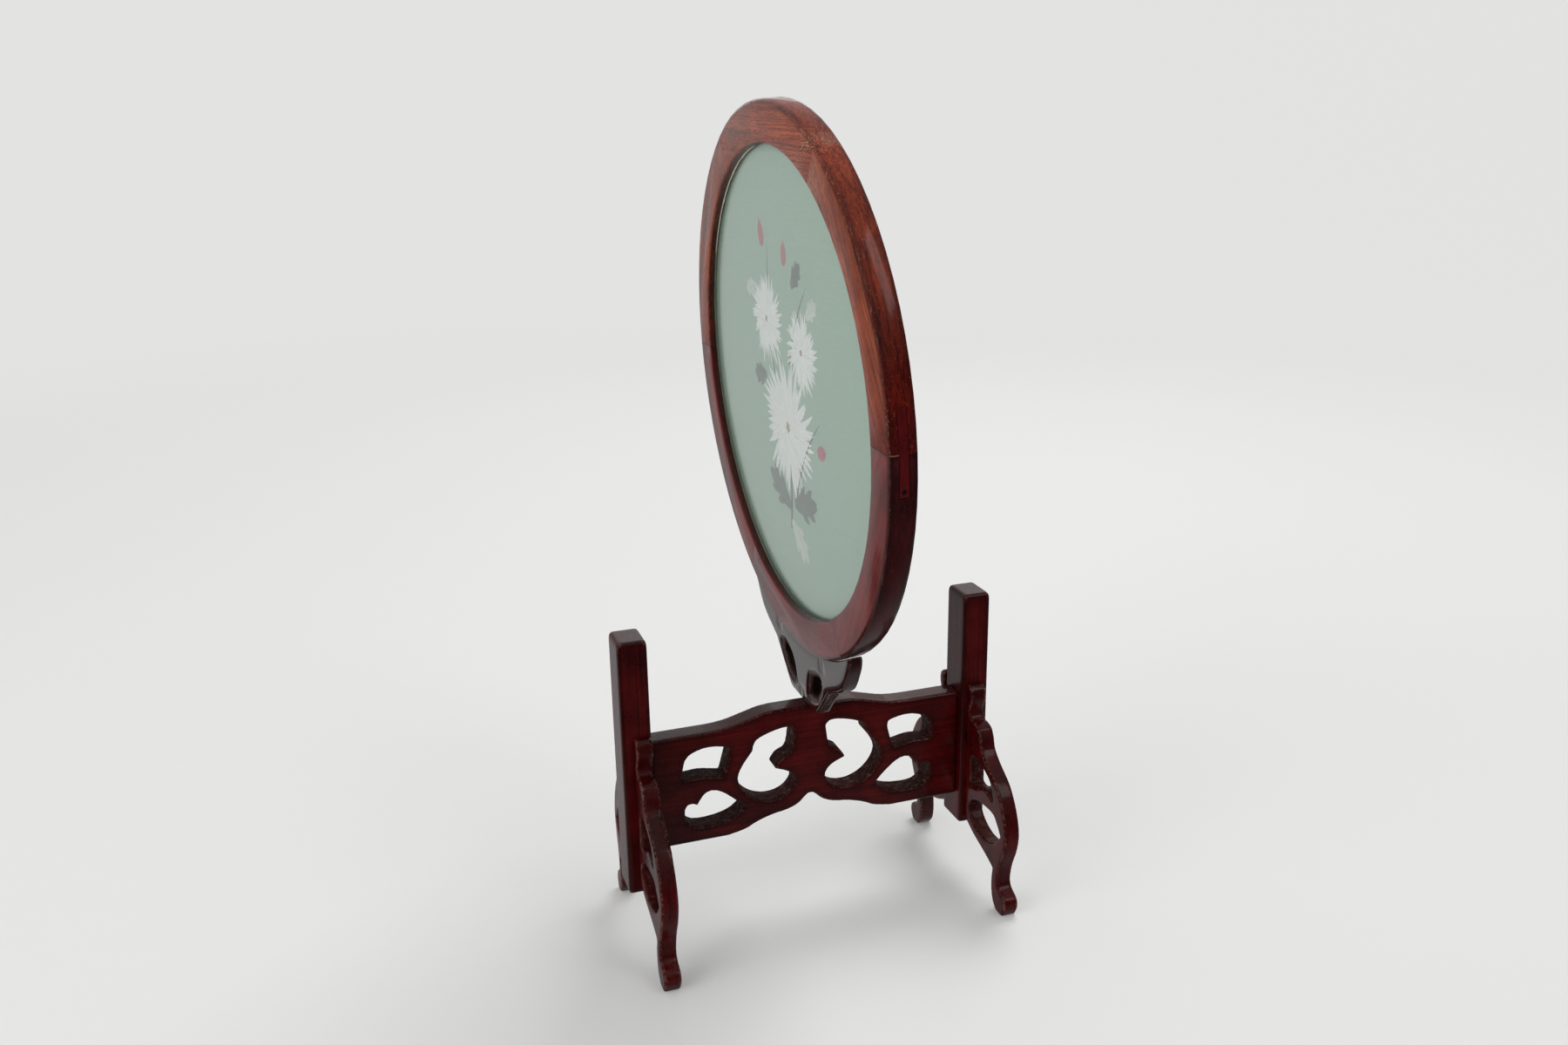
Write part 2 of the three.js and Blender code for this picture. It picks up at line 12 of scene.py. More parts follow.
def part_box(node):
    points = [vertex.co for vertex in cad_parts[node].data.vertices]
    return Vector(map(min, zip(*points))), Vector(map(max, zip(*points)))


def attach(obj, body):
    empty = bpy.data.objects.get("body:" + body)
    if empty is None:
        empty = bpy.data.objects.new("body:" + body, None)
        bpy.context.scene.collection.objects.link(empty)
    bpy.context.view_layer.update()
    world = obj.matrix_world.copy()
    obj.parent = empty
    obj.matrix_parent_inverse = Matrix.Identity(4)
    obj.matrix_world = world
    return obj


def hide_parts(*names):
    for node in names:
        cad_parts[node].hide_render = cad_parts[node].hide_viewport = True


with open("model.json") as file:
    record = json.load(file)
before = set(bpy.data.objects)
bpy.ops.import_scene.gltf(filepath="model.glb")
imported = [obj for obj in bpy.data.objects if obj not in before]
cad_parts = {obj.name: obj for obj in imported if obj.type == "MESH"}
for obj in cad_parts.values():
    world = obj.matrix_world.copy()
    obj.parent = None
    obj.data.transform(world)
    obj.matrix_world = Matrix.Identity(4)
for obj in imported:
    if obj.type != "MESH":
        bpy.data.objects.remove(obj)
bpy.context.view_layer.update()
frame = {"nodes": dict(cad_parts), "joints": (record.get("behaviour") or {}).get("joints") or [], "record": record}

MM = 0.001
NODES = frame["nodes"]
BODY_OF = {n: b for b, ns in frame["record"]["behaviour"]["bodies"].items() for n in ns}

# The screen's own axes: along the ring towards the near side, square to it, and up its pin
UP = Vector(frame["joints"][0]["axis"]).normalized()
NEAR = Vector((0, -1, 0))
ALONG = (NEAR - UP * NEAR.dot(UP)).normalized()
ACROSS = UP.cross(ALONG)
low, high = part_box("silk_panel")
CENTRE = (low + high) / 2
SCREEN = Matrix((ALONG, ACROSS, UP)).transposed().to_4x4()
SCREEN.translation = CENTRE
RING_RADIUS = 90 * MM
RING_HALF = 4.5 * MM
ARRIS_ROUND = 1.5 * MM
SIGHT_RADIUS = 76.8 * MM
SEGMENT = math.radians(60)  # what one piece of the ring takes up of it


def srgb(r, g, b):
    """A colour written in 0 to 255 steps, as the shaders want it."""
    def linear(c):
        c /= 255
        return c / 12.92 if c <= 0.04045 else ((c + 0.055) / 1.055) ** 2.4
    return (linear(r), linear(g), linear(b), 1.0)


# Node trees
class Tree:
    """Short names for the calls that build a node tree."""

    def __init__(self, name):
        self.material = bpy.data.materials.new(name)
        self.material.use_nodes = True
        self.nodes = self.material.node_tree.nodes
        self.links = self.material.node_tree.links
        self.shader = self.nodes["Principled BSDF"]
        self.output = self.nodes["Material Output"]

    def add(self, kind, inputs=None, **settings):
        node = self.nodes.new(kind)
        for key, value in settings.items():
            setattr(node, key, value)
        for key, value in (inputs or {}).items():
            self.feed(node.inputs[key], value)
        return node

    def feed(self, socket, value):
        if isinstance(value, bpy.types.NodeSocket):
            self.links.new(value, socket)
        else:
            socket.default_value = value

    def put(self, name, value):
        self.feed(self.shader.inputs[name], value)

    def math(self, operation, a, b=0.0, clamp=False):
        node = self.nodes.new("ShaderNodeMath")
        node.operation = operation
        node.use_clamp = clamp
        self.feed(node.inputs[0], a)
        self.feed(node.inputs[1], b)
        return node.outputs[0]

    def times(self, a, b):
        return self.math("MULTIPLY", a, b)

    def total(self, parts):
        """The sum of values, each times its share."""
        value = 0.0
        for part, share in parts:
            value = self.math("ADD", self.times(part, share), value)
        return value

    def between(self, value, start, end):
        """0 before start, 1 after end, and even between them."""
        node = self.add("ShaderNodeMapRange", {"Value": value, "From Min": start, "From Max": end})
        return node.outputs[0]

    def attribute(self, name, output="Vector"):
        return self.add("ShaderNodeAttribute", attribute_name=name).outputs[output]

    def parts(self, vector):
        return self.add("ShaderNodeSeparateXYZ", {"Vector": vector}).outputs

    def noise(self, vector, scale, detail=3.0, roughness=0.5):
        """Noise that changes about this many times in one unit of the vector."""
        node = self.add("ShaderNodeTexNoise", {"Vector": vector, "Scale": scale, "Detail": detail,
                                               "Roughness": roughness})
        return node.outputs["Fac"]

    def streaks(self, place, length, width, detail=3.0, roughness=0.5):
        """Noise in streaks of this length and width, in millimetres, along the first axis."""
        scale = (1 / length, 1 / width, 1 / width)
        node = self.add("ShaderNodeMapping", {"Vector": place, "Scale": scale})
        return self.noise(node.outputs["Vector"], 1 / MM, detail, roughness)

    def ramp(self, value, stops):
        node = self.add("ShaderNodeValToRGB", {"Fac": value})
        elements = node.color_ramp.elements
        while len(elements) < len(stops):
            elements.new(0.5)
        for element, (position, colour) in zip(elements, stops):
            element.position = position
            element.color = colour
        return node.outputs["Color"]

    def mix(self, factor, a, b, blend="MIX"):
        node = self.nodes.new("ShaderNodeMix")
        node.data_type = "RGBA"
        node.blend_type = blend
        self.feed(node.inputs["Factor"], factor)
        self.feed(node.inputs["A"], a)
        self.feed(node.inputs["B"], b)
        return node.outputs["Result"]

    def stained(self, colour, where, share, stain):
        """The colour, with this share of the stain where the value is 1."""
        return self.mix(self.times(where, share), colour, stain)

    def tinted(self, colour, value, stops):
        """The colour, multiplied by what a ramp over the value gives."""
        tint = self.ramp(value, [(position, (*tint, 1)) for position, tint in stops])
        return self.mix(1.0, colour, tint, "MULTIPLY")

    def blend(self, factor, first, second):
        """Two shaders in one: all of the first at 0, and all of the second at 1."""
        node = self.add("ShaderNodeMixShader", {"Fac": factor})
        self.links.new(first, node.inputs[1])
        self.links.new(second, node.inputs[2])
        return node.outputs[0]

    def bump(self, height, distance, strength=1.0, under=None):
        node = self.add("ShaderNodeBump", {"Height": height, "Distance": distance, "Strength": strength})
        if under is not None:
            self.links.new(under, node.inputs["Normal"])
        return node.outputs["Normal"]


def grained(tree, dark, light, place, spread):
    """Colour of hardwood along its grain, with the value that made it."""
    value = tree.total([
        (tree.streaks(place, 110, 2.4, roughness=0.55), 0.3),
        (tree.streaks(place, 60, 0.6, roughness=0.6), 0.4),
        (tree.streaks(place, 18, 0.24, detail=2.0), 0.3),
    ])
    middle = 0.495
    return tree.ramp(value, [(middle - spread, dark), (middle + spread, light)]), value


def lacquer(name, dark, light, coat=0.5, gloss=0.3, cut=((20, 8, 8), (48, 26, 22), (104, 76, 64))):
    """Dark lacquer over carved wood: the grain shows, arrises are worn pale with painted glints, piercings are
    left rough, and shade is painted along the faces' arrises and on the edges.
    """
    tree = Tree(name)
    place = tree.attribute("grain_place")
    colour, value = grained(tree, dark, light, place, spread=0.19)
    blotch = tree.noise(place, 55.0, detail=4.0, roughness=0.6)
    colour = tree.tinted(colour, blotch, [(0.36, (0.6, 0.54, 0.54)), (0.64, (1.25, 1.12, 1.08))])
    pores = tree.between(tree.streaks(place, 2.2, 0.16, detail=1.0), 0.62, 0.68)
    colour = tree.stained(colour, pores, 0.45, srgb(12, 3, 3))
    # Painted shade: faces darken towards their arrises and a board's edges are darker all over, while the middles
    # of the faces are painted a little lighter.
    painted_edge_shade = tree.attribute("painted_edge_shade", "Fac")
    colour = tree.tinted(colour, painted_edge_shade, [(0.0, (1.12, 1.1, 1.1)), (1.0, (0.42, 0.32, 0.34))])
    speck = tree.noise(place, 900.0, roughness=0.7)
    arris = tree.attribute("arris", "Fac")
    # Pale specks on the arrises: lacquer worn through, and also painted glints.
    rubbed_and_glint = tree.times(tree.between(arris, 0.25, 0.65), tree.between(speck, 0.46, 0.56))
    colour = tree.stained(colour, rubbed_and_glint, 0.6, srgb(150, 104, 90))
    wall = tree.attribute("wall", "Fac")
    chisel = tree.noise(place, 620.0, detail=4.0, roughness=0.65)
    bare = tree.ramp(chisel, [(at, srgb(*shade)) for at, shade in zip((0.38, 0.54, 0.7), cut)])
    colour = tree.stained(colour, wall, 0.8, bare)
    tree.put("Base Color", colour)
    rough = tree.total([(speck, 0.22), (blotch, 0.12), (wall, 0.35), (rubbed_and_glint, 0.15)])
    tree.put("Roughness", tree.math("ADD", rough, gloss - 0.17))
    tree.put("Specular IOR Level", 0.1)
    tree.put("Coat Weight", tree.times(tree.math("SUBTRACT", 1.0, wall), coat))
    tree.put("Coat Roughness", tree.math("ADD", 0.05, tree.times(speck, 0.12)))
    relief = tree.bump(pores, -0.05 * MM, 0.5)
    relief = tree.bump(value, 0.16 * MM, 0.5, relief)
    relief = tree.bump(tree.times(chisel, wall), 0.5 * MM, 0.8, relief)
    tree.put("Normal", relief)
    return tree.material


def rim_wood(tree, place, value, rise, dark, light, lightest):
    """Colour of the ring's rim, with painted shade by height: brown at the top, and dark red just above the level
    joints.
    """
    streak = tree.total([(value, 0.6), (tree.streaks(place, 26, 0.9, detail=4.0, roughness=0.65), 0.4)])
    rim = tree.ramp(streak, [(0.4, dark), (0.55, light), (0.68, lightest)])
    # Painted shade: the rim darkens to dark red just above the level joints and is tinted mauve below them.
    return tree.tinted(rim, rise, [
        (0.0, (0.75, 0.7, 0.8)), (0.49, (0.7, 0.9, 1.0)), (0.5, (0.4, 0.12, 0.16)),
        (0.63, (0.5, 0.2, 0.22)), (0.84, (1, 1, 1)),
    ])


def rim_chips(tree, place, along, height, radius, depth, on_rim):
    """1 where a pale chip shows: chips gather on the outer arris and by the slanting joint above."""
    speck = tree.streaks(place, 1.3, 0.32, detail=2.0, roughness=0.7)
    edge = tree.times(tree.between(radius, RING_RADIUS - 2.4 * MM, RING_RADIUS - 1.0 * MM),
                      tree.between(depth, 3.1 * MM, 4.1 * MM))
    patch = tree.between(tree.noise(place, 90.0, detail=2.0), 0.46, 0.58)
    from_joint = tree.total([(along, math.sin(SEGMENT)), (height, -math.cos(SEGMENT))])
    from_joint = tree.math("ABSOLUTE", from_joint)
    worn = tree.times(tree.between(from_joint, 16 * MM, 4 * MM), tree.between(height, 0.0, 50 * MM))
    limit = tree.math("SUBTRACT", 0.72, tree.total([
        (edge, 0.03), (tree.times(edge, patch), 0.05), (tree.times(worn, patch), 0.14),
        (on_rim, 0.015), (worn, 0.05),
    ]))
    return tree.math("GREATER_THAN", speck, limit)


def ring_timber(name, dark, light, rim_dark, rim_light, open_grain):
    """Open-grained ring wood: redder on the rim, chipped on its arris, dark along a level joint, with painted
    shade above the level joints, on the arris and round the sight edge, and a painted glint along the arris.
    """
    tree = Tree(name)
    place = tree.attribute("grain_place")
    spot = tree.attribute("screen_place")
    along, across, height = tree.parts(spot)
    depth = tree.math("ABSOLUTE", across)
    flat = tree.add("ShaderNodeCombineXYZ", {"X": along, "Z": height}).outputs[0]
    radius = tree.add("ShaderNodeVectorMath", {0: flat}, operation="LENGTH").outputs["Value"]
    on_rim = tree.between(radius, RING_RADIUS - 1.2 * MM, RING_RADIUS - 0.3 * MM)
    # From 0 near the foot of the ring to 1 near its top, and 0.5 at the level joints
    rise = tree.between(height, -80 * MM, 80 * MM)

    face, value = grained(tree, dark, light, place, spread=0.17 - 0.06 * open_grain)
    # Painted shade: the faces darken in a band just above the level joints, as the rim does.
    face = tree.tinted(face, rise, [(0.49, (1, 1, 1)), (0.5, (0.72, 0.42, 0.52)), (0.62, (1, 1, 1))])
    lightest = srgb(160, 70, 36) if open_grain == 1 else rim_light
    rim = rim_wood(tree, place, value, rise, rim_dark, rim_light, lightest)
    colour = tree.mix(on_rim, face, rim)
    blotch = tree.noise(place, 42.0, detail=4.0, roughness=0.6)
    colour = tree.tinted(colour, blotch, [(0.36, (0.66, 0.6, 0.6)), (0.64, (1.2, 1.15, 1.1))])
    pores = tree.between(tree.streaks(place, 3.4, 0.2, detail=1.0), 0.6, 0.66)
    colour = tree.stained(colour, pores, 0.6 * open_grain, srgb(38, 12, 9))

    # Painted shade on the wall round the sight edge, down in the rebate in front of the glass.
    painted_sight_shade = tree.between(radius, SIGHT_RADIUS + 0.5 * MM, SIGHT_RADIUS + 0.1 * MM)
    colour = tree.stained(colour, painted_sight_shade, 0.75, srgb(22, 10, 8))
    # Painted shade: a dark band along the rounded outer arris, stronger on the lower ring.
    painted_arris_shade = tree.times(tree.between(radius, RING_RADIUS - 2.0 * MM, RING_RADIUS - 1.0 * MM),
                          tree.between(depth, 2.2 * MM, 3.4 * MM))
    colour = tree.stained(colour, painted_arris_shade, 0.75 - 0.3 * open_grain, srgb(34, 6, 6))
    chips = rim_chips(tree, place, along, height, radius, depth, on_rim)
    colour = tree.stained(colour, chips, 0.5 * open_grain, srgb(190, 144, 118))
    # A thin, broken pale line along the crest of the arris: a painted glint.
    corner = RING_RADIUS + RING_HALF
    outward = tree.math("ADD", radius, depth)
    crest = tree.between(outward, corner - 0.68 * ARRIS_ROUND, corner - 0.6 * ARRIS_ROUND)
    broken = tree.between(tree.streaks(place, 16.0, 0.8, detail=5.0, roughness=0.8), 0.48, 0.6)
    colour = tree.stained(colour, tree.times(crest, broken), 0.1 + 0.25 * open_grain, srgb(176, 136, 122))
    # A broken line along the level joint, dark on the faces and pale on the rim
    dash = tree.between(tree.streaks(spot, 0.9, 6.0, detail=1.0), 0.4, 0.5)
    line = tree.math("LESS_THAN", tree.math("ABSOLUTE", height), 0.2 * MM)
    seam = tree.mix(on_rim, srgb(24, 8, 8), srgb(112, 78, 68))
    colour = tree.stained(colour, line, dash, seam)
    tree.put("Base Color", colour)

    rough = tree.total([(blotch, 0.2), (pores, 0.15), (chips, 0.2)])
    tree.put("Roughness", tree.math("ADD", rough, 0.2))
    tree.put("Specular IOR Level", 0.1)
    tree.put("Coat Weight", 0.5)
    tree.put("Coat Roughness", tree.math("ADD", 0.06, tree.times(blotch, 0.14)))
    relief = tree.bump(pores, -0.08 * MM, 0.6 * open_grain)
    relief = tree.bump(value, 0.2 * MM, 0.1 + 0.4 * open_grain, relief)
    tree.put("Normal", relief)
    return tree.material


def plain(name, colour, roughness, metallic=0.0):
    """A dull material with a slight mottle."""
    tree = Tree(name)
    place = tree.add("ShaderNodeTexCoord").outputs["Object"]
    mottle = tree.noise(place, 400.0, detail=4.0, roughness=0.6)
    darker = tuple(c * 0.72 for c in colour[:3]) + (1.0,)
    tree.put("Base Color", tree.ramp(mottle, [(0.35, darker), (0.65, colour)]))
    tree.put("Roughness", roughness)
    tree.put("Metallic", metallic)
    tree.put("Normal", tree.bump(mottle, 0.05 * MM, 0.4))
    return tree.material


def silk_cloth():
    """Sage satin: a fine plain weave with a soft sheen, in shade by the ring."""
    tree = Tree("sage_silk")
    place = tree.add("ShaderNodeTexCoord").outputs["Object"]
    warp, weft = [
        tree.add("ShaderNodeTexWave", {"Vector": place, "Scale": 1100.0, "Distortion": 0.6},
                 wave_type="BANDS", bands_direction=direction).outputs["Fac"]
        for direction in "YZ"
    ]
    weave = tree.times(warp, weft)
    slub = tree.add("ShaderNodeMapping", {"Vector": place, "Scale": (1, 1, 16)}).outputs["Vector"]
    value = tree.total([(weave, 0.3), (tree.noise(slub, 170.0, roughness=0.6), 0.7)])
    colour = tree.ramp(value, [(0.2, srgb(150, 174, 158)), (0.75, srgb(168, 192, 176))])
    away = tree.add("ShaderNodeVectorMath", {0: place, 1: CENTRE}, operation="DISTANCE").outputs["Value"]
    by_ring = tree.between(away, SIGHT_RADIUS - 3 * MM, SIGHT_RADIUS)
    colour = tree.tinted(colour, by_ring, [
        (0.0, (1, 1, 1)), (0.6, (0.8, 0.82, 0.81)), (1.0, (0.3, 0.34, 0.32)),
    ])
    tree.put("Base Color", colour)
    tree.put("Roughness", 0.55)
    tree.put("Sheen Weight", 0.2)
    tree.put("Sheen Roughness", 0.4)
    tree.put("Normal", tree.bump(weave, 0.03 * MM, 0.3))
    return tree.material


def floss(name, dark, light):
    """Untwisted silk thread laid side by side, each thread a little different."""
    tree = Tree(name)
    place = tree.attribute("thread_place")
    threads = tree.streaks(place, 5.0, 0.09, detail=2.0, roughness=0.6)
    strand = tree.streaks(place, 9.0, 0.5, detail=2.0)
    value = tree.total([(threads, 0.6), (strand, 0.4)])
    tree.put("Base Color", tree.ramp(value, [(0.38, dark), (0.55, light)]))
    tree.put("Roughness", 0.42)
    tree.put("Sheen Weight", 0.3)
    tree.put("Normal", tree.bump(threads, 0.06 * MM, 0.7))
    return tree.material


def clear_glass():
    """Thin window glass: clear to shadows, so that the silk behind it is lit."""
    tree = Tree("window_glass")
    tree.put("Base Color", (0.96, 0.985, 0.975, 1))
    tree.put("Roughness", 0.015)
    tree.put("IOR", 1.46)
    tree.put("Transmission Weight", 1.0)
    clear = tree.add("ShaderNodeBsdfTransparent", {"Color": (0.95, 0.97, 0.96, 1)})
    rays = tree.add("ShaderNodeLightPath")
    choice = tree.math("MAXIMUM", rays.outputs["Is Shadow Ray"], rays.outputs["Is Diffuse Ray"])
    mixed = tree.blend(choice, tree.shader.outputs[0], clear.outputs[0])
    tree.links.new(mixed, tree.output.inputs["Surface"])
    return tree.material


# Camera, at the photograph's angle
PHOTO_WIDTH = 1800
FOCAL_PX = 1543.0
EYE = Vector((-148.8, -406.7, 278.8)) * MM
YAW = math.radians(19.03)
PITCH = math.radians(17.06)
ROLL = math.radians(0.87)


def make_camera():
    """The photograph's camera, from where it stood and how it was turned."""
    forward = Vector((math.sin(YAW) * math.cos(PITCH), math.cos(YAW) * math.cos(PITCH), -math.sin(PITCH)))
    level = Vector((math.cos(YAW), -math.sin(YAW), 0))
    down = forward.cross(level)
    right = level * math.cos(ROLL) + down * math.sin(ROLL)
    below = down * math.cos(ROLL) - level * math.sin(ROLL)
    data = bpy.data.cameras.new("photo_camera")
    data.sensor_width = 36.0
    data.lens = data.sensor_width * FOCAL_PX / PHOTO_WIDTH
    data.clip_start = 0.02
    camera = bpy.data.objects.new("photo_camera", data)
    turn = Matrix((right, -below, -forward)).transposed().to_4x4()
    turn.translation = EYE
    camera.matrix_world = turn
    bpy.context.scene.collection.objects.link(camera)
    bpy.context.scene.camera = camera


def add_object(name, mesh):
    made = bpy.data.objects.new(name, mesh)
    bpy.context.scene.collection.objects.link(made)
    return made


# Stage
def backdrop_paper():
    """Pale paper: evener to the eye far from the screen, and darker in a polish, most of all in front."""
    tree = Tree("backdrop_paper")
    tree.put("Base Color", (0.80, 0.80, 0.795, 1))
    tree.put("Roughness", 0.7)
    tree.put("Specular IOR Level", 0.2)
    rays = tree.add("ShaderNodeLightPath").outputs
    place = tree.add("ShaderNodeTexCoord").outputs["Object"]
    sideways, depth, _ = tree.parts(place)
    near_middle = tree.between(tree.math("ABSOLUTE", sideways), 2.0, 0.7)
    behind = tree.times(tree.between(depth, -0.15, 0.1), tree.total([(near_middle, 0.24), (1.0, 0.16)]))
    level = tree.math("ADD", behind, 0.04)
    in_polish = tree.add("ShaderNodeEmission", {"Color": (1, 1, 1, 1), "Strength": level})
    even = tree.add("ShaderNodeEmission", {"Color": (0.77, 0.77, 0.765, 1), "Strength": 1.0})
    away = tree.add("ShaderNodeVectorMath", {0: place}, operation="LENGTH").outputs["Value"]
    evenness = tree.math("ADD", 0.12, tree.times(tree.between(away, 0.2, 1.4), 0.86))
    share = tree.times(rays["Is Camera Ray"], evenness)
    to_the_eye = tree.blend(share, tree.shader.outputs[0], even.outputs[0])
    mixed = tree.blend(rays["Is Glossy Ray"], to_the_eye, in_polish.outputs[0])
    tree.links.new(mixed, tree.output.inputs["Surface"])
    return tree.material


def surround():
    """White all round to the eye, and brighter from the left, from behind and from above in a polish."""
    world = bpy.data.worlds.new("surround")
    world.use_nodes = True
    nodes = world.node_tree.nodes
    links = world.node_tree.links
    rays = nodes.new("ShaderNodeLightPath").outputs
    place = nodes.new("ShaderNodeTexCoord").outputs["Generated"]

    def math_node(operation, a, b, clamp=False):
        node = nodes.new("ShaderNodeMath")
        node.operation = operation
        node.use_clamp = clamp
        for socket, value in zip(node.inputs, (a, b)):
            if isinstance(value, bpy.types.NodeSocket):
                links.new(value, socket)
            else:
                socket.default_value = value
        return node.outputs[0]

    brightest = (-0.10, 0.08, 0.34)
    towards = nodes.new("ShaderNodeVectorMath")
    towards.operation = "DOT_PRODUCT"
    links.new(place, towards.inputs[0])
    towards.inputs[1].default_value = brightest
    shine = math_node("ADD", towards.outputs["Value"], 0.10, clamp=True)
    shine = math_node("MAXIMUM", shine, 0.03)
    lit = math_node("MULTIPLY", shine, rays["Is Glossy Ray"])
    soft = math_node("MULTIPLY", rays["Is Diffuse Ray"], 0.54)
    seen = math_node("MAXIMUM", rays["Is Camera Ray"], rays["Is Transmission Ray"])
    plainly = math_node("MULTIPLY", seen, 0.775)
    strength = math_node("MAXIMUM", math_node("MAXIMUM", lit, soft), plainly)
    nodes["Background"].inputs["Color"].default_value = (1, 1, 0.995, 1)
    links.new(strength, nodes["Background"].inputs["Strength"])
    bpy.context.scene.world = world


def lamp(name, place, aim, width, height, power, in_polish=False):
    """A soft lamp that neither the camera nor glass shows, and a polish only where asked."""
    data = bpy.data.lights.new(name, "AREA")
    data.shape = "RECTANGLE"
    data.size = width
    data.size_y = height
    data.energy = power
    light = bpy.data.objects.new(name, data)
    light.location = place
    light.rotation_euler = (Vector(aim) - Vector(place)).to_track_quat("-Z", "Y").to_euler()
    light.visible_camera = False
    light.visible_transmission = False
    light.visible_glossy = in_polish
    bpy.context.scene.collection.objects.link(light)


def make_stage():
    """A pale floor that sweeps up into a pale wall, soft lamps and a white surround."""
    sweep = bmesh.new()
    front, depth, rise, half_width, bend, steps = -3.5, 1.2, 2.2, 3.5, 0.5, 12
    profile = [(front, 0.0), (depth, 0.0)]
    for i in range(1, steps + 1):
        angle = i / steps * math.pi / 2
        profile.append((depth + bend * math.sin(angle), bend * (1 - math.cos(angle))))
    profile.append((depth + bend, rise))
    rows = [[sweep.verts.new((x, y, z)) for y, z in profile] for x in (-half_width, half_width)]
    for i in range(len(profile) - 1):
        sweep.faces.new((rows[0][i], rows[1][i], rows[1][i + 1], rows[0][i + 1]))
    mesh = bpy.data.meshes.new("backdrop")
    sweep.to_mesh(mesh)
    sweep.free()
    mesh.shade_smooth()
    backdrop = add_object("backdrop", mesh)
    mesh.materials.append(backdrop_paper())
    lamp("left_lamp", (-1.3, -0.45, 0.6), (0, 0, 0.14), width=1.0, height=0.9, power=7.5)
    lamp("top_lamp", (0.7, 0.6, 1.4), (0, 0, 0.1), width=0.8, height=0.8, power=11.0)
    lamp("right_lamp", (0.8, -1.05, 1.6), (0, 0, 0.2), width=0.6, height=1.0, power=3.2, in_polish=True)
    lamp("rear_lamp", (0.3, 1.05, 0.5), (0, 0, 0.1), width=1.1, height=0.2, power=0.5, in_polish=True)
    surround()
    bpy.context.scene.view_settings.view_transform = "Standard"


# Dressed wood
def vectors_of(items, name):
    found = np.empty(len(items) * 3)
    items.foreach_get(name, found)
    return found.reshape(-1, 3)


def points_of(mesh):
    return vectors_of(mesh.vertices, "co")


def normals_of(mesh):
    return vectors_of(mesh.vertices, "normal")


def move_points(mesh, points):
    mesh.vertices.foreach_set("co", points.ravel())
    mesh.update()


def edges_of(mesh):
    found = np.empty(len(mesh.edges) * 2, dtype=np.int64)
    mesh.edges.foreach_get("vertices", found)
    return found.reshape(-1, 2)


def keep_vector(mesh, name, values):
    layer = mesh.attributes.new(name, "FLOAT_VECTOR", "POINT")
    layer.data.foreach_set("vector", np.ascontiguousarray(values, dtype=np.float32).ravel())


def keep_value(mesh, name, values):
    layer = mesh.attributes.new(name, "FLOAT", "POINT")
    layer.data.foreach_set("value", np.ascontiguousarray(values, dtype=np.float32))


def distance_to(points):
    """Gives a function that tells how far a place is from the nearest of these points."""
    nearest = kdtree.KDTree(len(points))
    for index, point in enumerate(points):
        nearest.insert(point, index)
    nearest.balance()
    return lambda place: nearest.find(place)[2]


chance = random.Random(7)
SHARPEST = 0.2  # the bend of an arris that counts as 1, as a share of the mesh's spacing
ON_EDGE = 0.6  # a corner is on a board's edge if its normal has less than this of the board's axis
LEAST_LOOP = 60  # the fewest corners in a loop that counts as a piercing
BY_FACE = 0.7  # an edge's corners count as by a face from this share of the way out to it
EDGE_PAINTED_SHADE = 0.4  # the painted edge shade's value all over a board's edges


def keep_grain(piece, along, broad):
    """Every corner's place along, across and through the grain, apart from any other piece's."""
    x = Vector(along).normalized()
    z = x.cross(Vector(broad)).normalized()
    y = z.cross(x)
    axes = np.array([tuple(x), tuple(y), tuple(z)])
    shift = np.array([chance.uniform(0, 2) for _ in range(3)])
    keep_vector(piece.data, "grain_place", points_of(piece.data) @ axes.T + shift)


def keep_arrises(piece):
    """How sharply the surface turns outward at each corner, from 0 to 1."""
    mesh = piece.data
    points, normals, edges = points_of(mesh), normals_of(mesh), edges_of(mesh)
    total = np.zeros_like(points)
    count = np.zeros(len(points))
    for a, b in ((0, 1), (1, 0)):
        np.add.at(total, edges[:, a], points[edges[:, b]])
        np.add.at(count, edges[:, a], 1)
    offset = total / np.maximum(count, 1)[:, None] - points
    length = np.linalg.norm(points[edges[:, 0]] - points[edges[:, 1]], axis=1).mean()
    bend = -(offset * normals).sum(1) / length
    keep_value(mesh, "arris", np.clip(bend / SHARPEST, 0, 1))


def wall_groups(mesh, axis):
    """Which corners are on a board's edges, and a number for each that is the same round one loop."""
    normals, edges = normals_of(mesh), edges_of(mesh)
    side = np.abs(normals @ np.array(axis)) < ON_EDGE
    inner = edges[side[edges[:, 0]] & side[edges[:, 1]]]
    label = np.arange(len(normals))
    while True:
        least = np.minimum(label[inner[:, 0]], label[inner[:, 1]])
        before = label.copy()
        np.minimum.at(label, inner[:, 0], least)
        np.minimum.at(label, inner[:, 1], least)
        label = label[label]
        if (label == before).all():
            return side, label


def keep_walls(piece, axis, bareness=1.0):
    """How bare the walls of a board's piercings are, and 0 on its faces and round its outside."""
    mesh = piece.data
    points = points_of(mesh)
    side, label = wall_groups(mesh, axis)
    spans = {}
    for loop in np.unique(label[side]):
        chosen = points[side & (label == loop)]
        if len(chosen) > LEAST_LOOP:
            spans[loop] = np.ptp(chosen, axis=0).sum()
    outside = max(spans, key=spans.get)
    holes = [loop for loop in spans if loop != outside]
    keep_value(mesh, "wall", np.where(side & np.isin(label, holes), bareness, 0.0))


